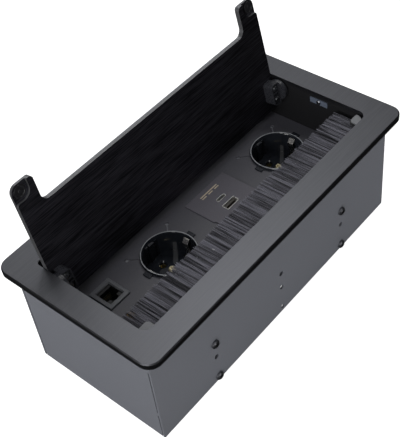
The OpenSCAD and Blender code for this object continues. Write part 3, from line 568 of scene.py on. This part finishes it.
def dull_brass(colours):
    """Brass, cast and left as it came from the mould: brown, with a weak shine."""
    material, tree, shader = start_material("dull_brass", Metallic=1.0)
    cloud = grain(tree, (1.2, 1.2, 1.2))
    tone(tree, shader, cloud, colours.cast_brass, low=0.85, high=1.1)
    sheen(tree, shader, cloud, low=0.35, high=0.5)
    return material


def print_ink(colours):
    """Ink, pad printed: flat beige, uneven in its cover every 0.4 mm."""
    material, tree, shader = start_material("print_ink", IOR=1.5)
    cover = grain(tree, (0.4, 0.4, 0.4))
    tone(tree, shader, cover, colours.print_ink, low=0.85, high=1.05)
    sheen(tree, shader, cover, low=0.45, high=0.6)
    return material


def pale_floor(colours):
    """Acrylic, cast matt white and lit from below: pale, so that shadows stay faint."""
    material, tree, shader = start_material(
        "pale_floor", IOR=1.49, Emission_Color=(1, 1, 1, 1), Emission_Strength=0.9)
    haze = grain(tree, (3, 3, 3))
    tone(tree, shader, haze, colours.floor, low=0.985, high=1.0)
    sheen(tree, shader, haze, low=0.85, high=0.95)
    return material


def add_object(name, mesh):
    """A new object in the scene."""
    piece = bpy.data.objects.new(name, mesh)
    bpy.context.scene.collection.objects.link(piece)
    return piece


def body_of(node_name):
    """The CAD body that a node belongs to."""
    return frame["nodes"][node_name]["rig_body"]


def clean_mesh(node_name, name):
    """A new mesh of the node's solid, with its corners joined and its flat faces whole."""
    work = bmesh.new()
    work.from_mesh(frame["nodes"][node_name].data)
    bmesh.ops.remove_doubles(work, verts=work.verts, dist=WELD_DISTANCE)
    bmesh.ops.dissolve_limit(work, angle_limit=FLAT_ANGLE, verts=work.verts,
                             edges=work.edges)
    work.verts.ensure_lookup_table()
    work.verts.index_update()
    corners = [tuple(v.co) for v in work.verts]
    faces = [[v.index for v in f.verts] for f in work.faces]
    work.free()
    mesh = bpy.data.meshes.new(name)
    mesh.from_pydata(corners, [], faces)
    mesh.validate()
    return mesh


def soften(node_name, radius, *makers, segments=2):
    """Puts a painted copy with small rounded edges in the place of a CAD node."""
    piece = add_object(node_name + "_form", clean_mesh(node_name, node_name + "_form"))
    for face in piece.data.polygons:
        face.use_smooth = True
    piece.data.set_sharp_from_angle(angle=EDGE_ANGLE)
    edges = piece.modifiers.new("Rounded edges", "BEVEL")
    edges.width = radius
    edges.segments = segments
    edges.limit_method = "ANGLE"
    edges.angle_limit = EDGE_ANGLE
    edges.harden_normals = True
    edges.use_clamp_overlap = True
    paint(piece, *makers)
    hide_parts(node_name)
    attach(piece, body_of(node_name))
    return piece


def sides(name):
    """The names of the left and the right one of a pair."""
    return name + "_left", name + "_right"


def paint_nodes(maker, *node_names):
    """Gives CAD nodes one finish."""
    for name in node_names:
        paint(frame["nodes"][name], maker)


class MODULE_OT_flange(bpy.types.Operator):
    """Brushed flange plate"""
    bl_idname = "module.flange"
    bl_label = "Flange"

    def execute(self, context):
        soften("flange", context.scene.module_sizes.plate_edge, brushed_anodised)
        return {"FINISHED"}


class MODULE_OT_box(bpy.types.Operator):
    """Folded box, cheek plates, straps and their fasteners"""
    bl_idname = "module.box"
    bl_label = "Box"

    def execute(self, context):
        edge = context.scene.module_sizes.plate_edge
        soften("housing", edge, powder_coat)
        # The side plates are nearly black: painted shade inside the box.
        for name in sides("cheek_plate"):
            soften(name, edge, painted_shade_coat)
        # The straps behind the wall's holes are nearly black, so that painted shade fills the
        # holes.
        paint_nodes(painted_shade_coat, *sides("strap_front"), *sides("strap_rear"))
        paint_nodes(zinc_steel, "panel_nuts", "strap_nuts", "rim_screws", "cheek_screws")
        for name in ("panel_screws", "strap_screws"):
            soften(name, context.scene.module_sizes.small_edge, black_screw)
        return {"FINISHED"}


class MODULE_OT_lid(bpy.types.Operator):
    """Lid plate and its two bumpers"""
    bl_idname = "module.lid"
    bl_label = "Lid"

    def execute(self, context):
        sizes = context.scene.module_sizes
        lid = soften("lid", sizes.lid_edge, brushed_anodised, brushed_lid, milled_edge,
                     segments=3)
        outer, inner, edge = range(3)
        # The lid stands open, so its outer face is the largest one that looks back.
        top = max(lid.data.polygons, key=lambda face: face.area * (face.normal.y > 0))
        # Faces that look neither out nor in are the lid's edges, which get the painted
        # highlight colour.
        for face in lid.data.polygons:
            facing = face.normal.dot(top.normal)
            face.material_index = outer if facing > 0.5 else inner if facing < -0.5 else edge
        for name in sides("ear_bumper"):
            soften(name, sizes.mould_edge, bumper_rubber)
        return {"FINISHED"}


class MODULE_OT_hinges(bpy.types.Operator):
    """Hinge arms, pins, washers and screws"""
    bl_idname = "module.hinges"
    bl_label = "Hinges"

    def execute(self, context):
        for name in sides("hinge_arm"):
            soften(name, context.scene.module_sizes.mould_edge, moulded_arm)
        paint_nodes(zinc_steel, *sides("hinge_pin"), *sides("arm_screws"))
        paint_nodes(nylon_washer, *sides("hinge_washer"))
        return {"FINISHED"}


def bristle(corners, faces, root, tip, width, bend):
    """Adds one four-sided fibre from root to tip; its middle is moved by bend."""
    first = len(corners)
    for i in range(FIBRE_STEPS + 1):
        t = i / FIBRE_STEPS
        centre = root.lerp(tip, t) + bend * (4 * t * (1 - t))
        half = width / 2 * (1 - FIBRE_TAPER * t)
        for dx, dz in ((-half, 0), (0, half), (half, 0), (0, -half)):
            corners.append(centre + Vector((dx, 0, dz)))
    for i in range(FIBRE_STEPS):
        low, high = first + 4 * i, first + 4 * (i + 1)
        for k in range(4):
            n = (k + 1) % 4
            faces.append((low + k, low + n, high + n, high + k))
    last = first + 4 * FIBRE_STEPS
    faces.append((first + 3, first + 2, first + 1, first))
    faces.append((last, last + 1, last + 2, last + 3))


class MODULE_OT_brush(bpy.types.Operator):
    """Brush strip: the holder and its rows of nylon bristles"""
    bl_idname = "module.brush"
    bl_label = "Brush"

    def execute(self, context):
        paint_nodes(powder_coat, "brush_holder")
        corners, faces = self.tufts(context.scene.module_sizes)
        mesh = bpy.data.meshes.new("bristles")
        mesh.from_pydata(corners, [], faces)
        mesh.validate()
        piece = add_object("bristles", mesh)
        paint(piece, nylon_bristle)
        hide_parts("brush_bristles")
        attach(piece, body_of("brush_bristles"))
        return {"FINISHED"}

    def tufts(self, sizes):
        """The corners and faces of all bristles, which stand in tufts of uneven reach."""
        low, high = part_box("brush_bristles")
        chance = random.Random(BRISTLE_SEED)
        corners, faces = [], []
        columns = int((high.x - low.x) / sizes.bristle_pitch)
        for row in range(sizes.bristle_rows):
            height = low.z + (row + 0.5) / sizes.bristle_rows * (high.z - low.z)
            left_in_tuft = 0
            for column in range(columns):
                if left_in_tuft == 0:
                    left_in_tuft = chance.randint(*TUFT_COUNT)
                    middle = column + left_in_tuft / 2
                    reach = chance.uniform(*TUFT_REACH)
                    lean = chance.gauss(0, TUFT_LEAN)
                    lift = chance.uniform(-TUFT_LIFT, TUFT_LIFT)
                left_in_tuft -= 1
                x = low.x + (column + 0.5) * sizes.bristle_pitch
                gather = (middle - column) * TUFT_GATHER * sizes.bristle_pitch
                root = Vector((x, low.y + ROOT_DEPTH, height))
                tip = Vector((x + gather + lean + chance.gauss(0, TIP_SCATTER),
                              high.y + reach + chance.gauss(0, REACH_SCATTER),
                              height + lift + chance.gauss(0, TIP_SCATTER)))
                bend = Vector((chance.gauss(0, BEND_SCATTER), 0,
                               chance.gauss(0, BEND_SCATTER)))
                bristle(corners, faces, root, tip, sizes.bristle_width, bend)
        return corners, faces


class MODULE_OT_panel(bpy.types.Operator):
    """Socket panel, earth screw, wall clips and corner pads"""
    bl_idname = "module.panel"
    bl_label = "Panel"

    def execute(self, context):
        sizes = context.scene.module_sizes
        soften("socket_panel", sizes.small_edge, panel_coat)
        soften("earth_screw", sizes.small_edge, dull_brass)
        for name in sides("wall_clip"):
            soften(name, sizes.small_edge, clip_sheet)
        for name in sides("corner_pad"):
            soften(name, sizes.mould_edge, corner_pad)
        paint_nodes(zinc_steel, "clip_screws")
        return {"FINISHED"}


class MODULE_OT_sockets(bpy.types.Operator):
    """Round earthed sockets with their contacts"""
    bl_idname = "module.sockets"
    bl_label = "Sockets"

    def execute(self, context):
        sizes = context.scene.module_sizes
        for name in sides("socket_cup"):
            cup = soften(name, sizes.cup_edge, glossy_cup, lip_highlight, segments=3)
            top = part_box(name)[1].z
            # Faces at the cup's top get the lip's painted highlight colour.
            for face in cup.data.polygons:
                face.material_index = int(face.center.z > top - LIP_HIGHLIGHT_DEPTH)
        for name in sides("centre_screw"):
            soften(name, sizes.small_edge, turned_brass)
        paint_nodes(spring_nickel, *sides("earth_clips"))
        paint_nodes(turned_brass, *sides("pin_sleeves"))
        paint_nodes(pale_moulding, *sides("socket_base"))
        return {"FINISHED"}


class MODULE_OT_charger(bpy.types.Operator):
    """Charger plate with its USB ports and a direct current mark"""
    bl_idname = "module.charger"
    bl_label = "Charger"

    def execute(self, context):
        sizes = context.scene.module_sizes
        soften("charger_plate", sizes.small_edge, charger_plastic)
        for name in ("usb_a_shell", "usb_c_shell"):
            soften(name, sizes.small_edge / 2, drawn_shell)
        paint_nodes(pale_moulding, "charger_module")
        paint_nodes(olive_tongue, "usb_a_tongue")
        paint_nodes(dark_moulding, "usb_c_tongue")
        self.add_mark(sizes)
        return {"FINISHED"}

    def add_mark(self, sizes):
        """A line over three dashes, printed near the plate's back edge."""
        low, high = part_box("charger_plate")
        middle = (low.x + high.x) / 2
        back = high.y - MARK_INSET
        dash = sizes.mark_length / 4
        pitch = 1.5 * dash
        bars = [(middle, back, sizes.mark_length)]
        bars += [(middle + i * pitch, back - sizes.mark_gap, dash) for i in (-1, 0, 1)]
        work = bmesh.new()
        for x, y, reach in bars:
            bmesh.ops.create_cube(work, size=1, matrix=Matrix.LocRotScale(
                (x, y, high.z), None, (reach, sizes.mark_line, INK_THICKNESS)))
        bmesh.ops.bevel(work, geom=work.edges[:], offset=INK_ROUNDING, segments=1,
                        affect="EDGES")
        mesh = bpy.data.meshes.new("current_mark")
        work.to_mesh(mesh)
        work.free()
        piece = add_object("current_mark", mesh)
        paint(piece, print_ink)
        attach(piece, body_of("charger_plate"))


class MODULE_OT_jack(bpy.types.Operator):
    """Network jack with its bezel and contacts"""
    bl_idname = "module.jack"
    bl_label = "Network jack"

    def execute(self, context):
        sizes = context.scene.module_sizes
        soften("jack_bezel", sizes.mould_edge, bezel_plastic)
        soften("jack_body", sizes.small_edge, dark_moulding)
        paint_nodes(turned_brass, "jack_contacts")
        return {"FINISHED"}


def soft_box(name, place, width, height, power):
    """A rectangular light that faces the middle of the module."""
    light = bpy.data.lights.new(name, "AREA")
    light.shape = "RECTANGLE"
    light.size, light.size_y = width, height
    light.energy = power
    lamp = add_object(name, light)
    lamp.location = place
    lamp.rotation_mode = "QUATERNION"
    lamp.rotation_quaternion = (-place).to_track_quat("-Z", "Y")


class MODULE_OT_stage(bpy.types.Operator):
    """Pale floor, soft lights and sky"""
    bl_idname = "module.stage"
    bl_label = "Stage"

    def execute(self, context):
        stage = context.scene.module_stage
        half = STAGE_RADIUS
        level = CAD_BOX[0].z
        mesh = bpy.data.meshes.new("floor")
        mesh.from_pydata([(-half, -half, level), (half, -half, level), (half, half, level),
                          (-half, half, level)], [], [(0, 1, 2, 3)])
        floor = add_object("floor", mesh)
        paint(floor, pale_floor)
        floor.visible_glossy = False
        self.backdrop()
        for name, turn, rise, width, height, watts in SOFT_BOXES:
            turn, rise = math.radians(turn), math.radians(rise)
            place = Vector((math.cos(turn) * math.cos(rise), math.sin(turn) * math.cos(rise),
                            math.sin(rise))) * stage.reach
            soft_box(name, place, width, height, watts * stage.share)
        context.scene.world = self.dim_sky(stage.sky)
        context.scene.view_settings.view_transform = "Standard"
        return {"FINISHED"}

    def backdrop(self):
        """A pale dome far behind everything, which gives no light to the module."""
        mesh = bpy.data.meshes.new("backdrop")
        work = bmesh.new()
        bmesh.ops.create_uvsphere(work, u_segments=48, v_segments=24, radius=STAGE_RADIUS)
        bmesh.ops.reverse_faces(work, faces=work.faces)
        work.to_mesh(mesh)
        work.free()
        dome = add_object("backdrop", mesh)
        paint(dome, pale_floor)
        for ray in ("diffuse", "glossy", "transmission", "volume_scatter", "shadow"):
            setattr(dome, "visible_" + ray, False)
        return dome

    def dim_sky(self, strength):
        """An even sky, nearly dark, since the soft boxes and the floor give the light."""
        world = bpy.data.worlds.new("sky")
        world.use_nodes = True
        background = world.node_tree.nodes["Background"]
        background.inputs["Color"].default_value = (1, 1, 1, 1)
        background.inputs["Strength"].default_value = strength
        return world


class MODULE_OT_camera(bpy.types.Operator):
    """Camera at the photograph's angle"""
    bl_idname = "module.camera"
    bl_label = "Camera"

    def execute(self, context):
        stage = context.scene.module_stage
        data = bpy.data.cameras.new("camera")
        data.sensor_width = SENSOR_WIDTH
        data.lens = stage.lens
        camera = add_object("camera", data)
        flat = math.cos(stage.elevation)
        back = Vector((-math.sin(stage.azimuth) * flat, -math.cos(stage.azimuth) * flat,
                       math.sin(stage.elevation)))
        turn = (-back).to_track_quat("-Z", "Y").to_matrix() @ Matrix.Rotation(
            stage.roll, 3, "Z")
        camera.location = VIEW_CENTRE + back * stage.distance
        camera.rotation_mode = "QUATERNION"
        camera.rotation_quaternion = turn.to_quaternion()
        context.scene.camera = camera
        return {"FINISHED"}


STEPS = (MODULE_OT_camera, MODULE_OT_flange, MODULE_OT_box, MODULE_OT_lid, MODULE_OT_hinges,
         MODULE_OT_brush, MODULE_OT_panel, MODULE_OT_sockets, MODULE_OT_charger,
         MODULE_OT_jack, MODULE_OT_stage)


class MODULE_PT_steps(bpy.types.Panel):
    """Lists the steps and their settings"""
    bl_idname = "MODULE_PT_steps"
    bl_label = "Power module"
    bl_space_type = "VIEW_3D"
    bl_region_type = "UI"
    bl_category = "Power module"

    def draw(self, context):
        scene = context.scene
        for group in (scene.module_sizes, scene.module_colours, scene.module_stage):
            box = self.layout.box()
            for name in group.__annotations__:
                box.prop(group, name)
        for step in STEPS:
            self.layout.operator(step.bl_idname)


GROUPS = {"module_sizes": ModuleSizes, "module_colours": ModuleColours,
          "module_stage": ModuleStage}


def register():
    """Adds the settings, the steps and their panel."""
    for name, group in GROUPS.items():
        bpy.utils.register_class(group)
        setattr(bpy.types.Scene, name, PointerProperty(type=group))
    for item in (*STEPS, MODULE_PT_steps):
        bpy.utils.register_class(item)


def unregister():
    """Takes out what register added."""
    for item in reversed((*STEPS, MODULE_PT_steps)):
        bpy.utils.unregister_class(item)
    for name, group in GROUPS.items():
        delattr(bpy.types.Scene, name)
        bpy.utils.unregister_class(group)


def main():
    """Runs every step."""
    register()
    for step in STEPS:
        getattr(bpy.ops.module, step.bl_idname.split(".")[1])()


if __name__ == "__main__":
    main()
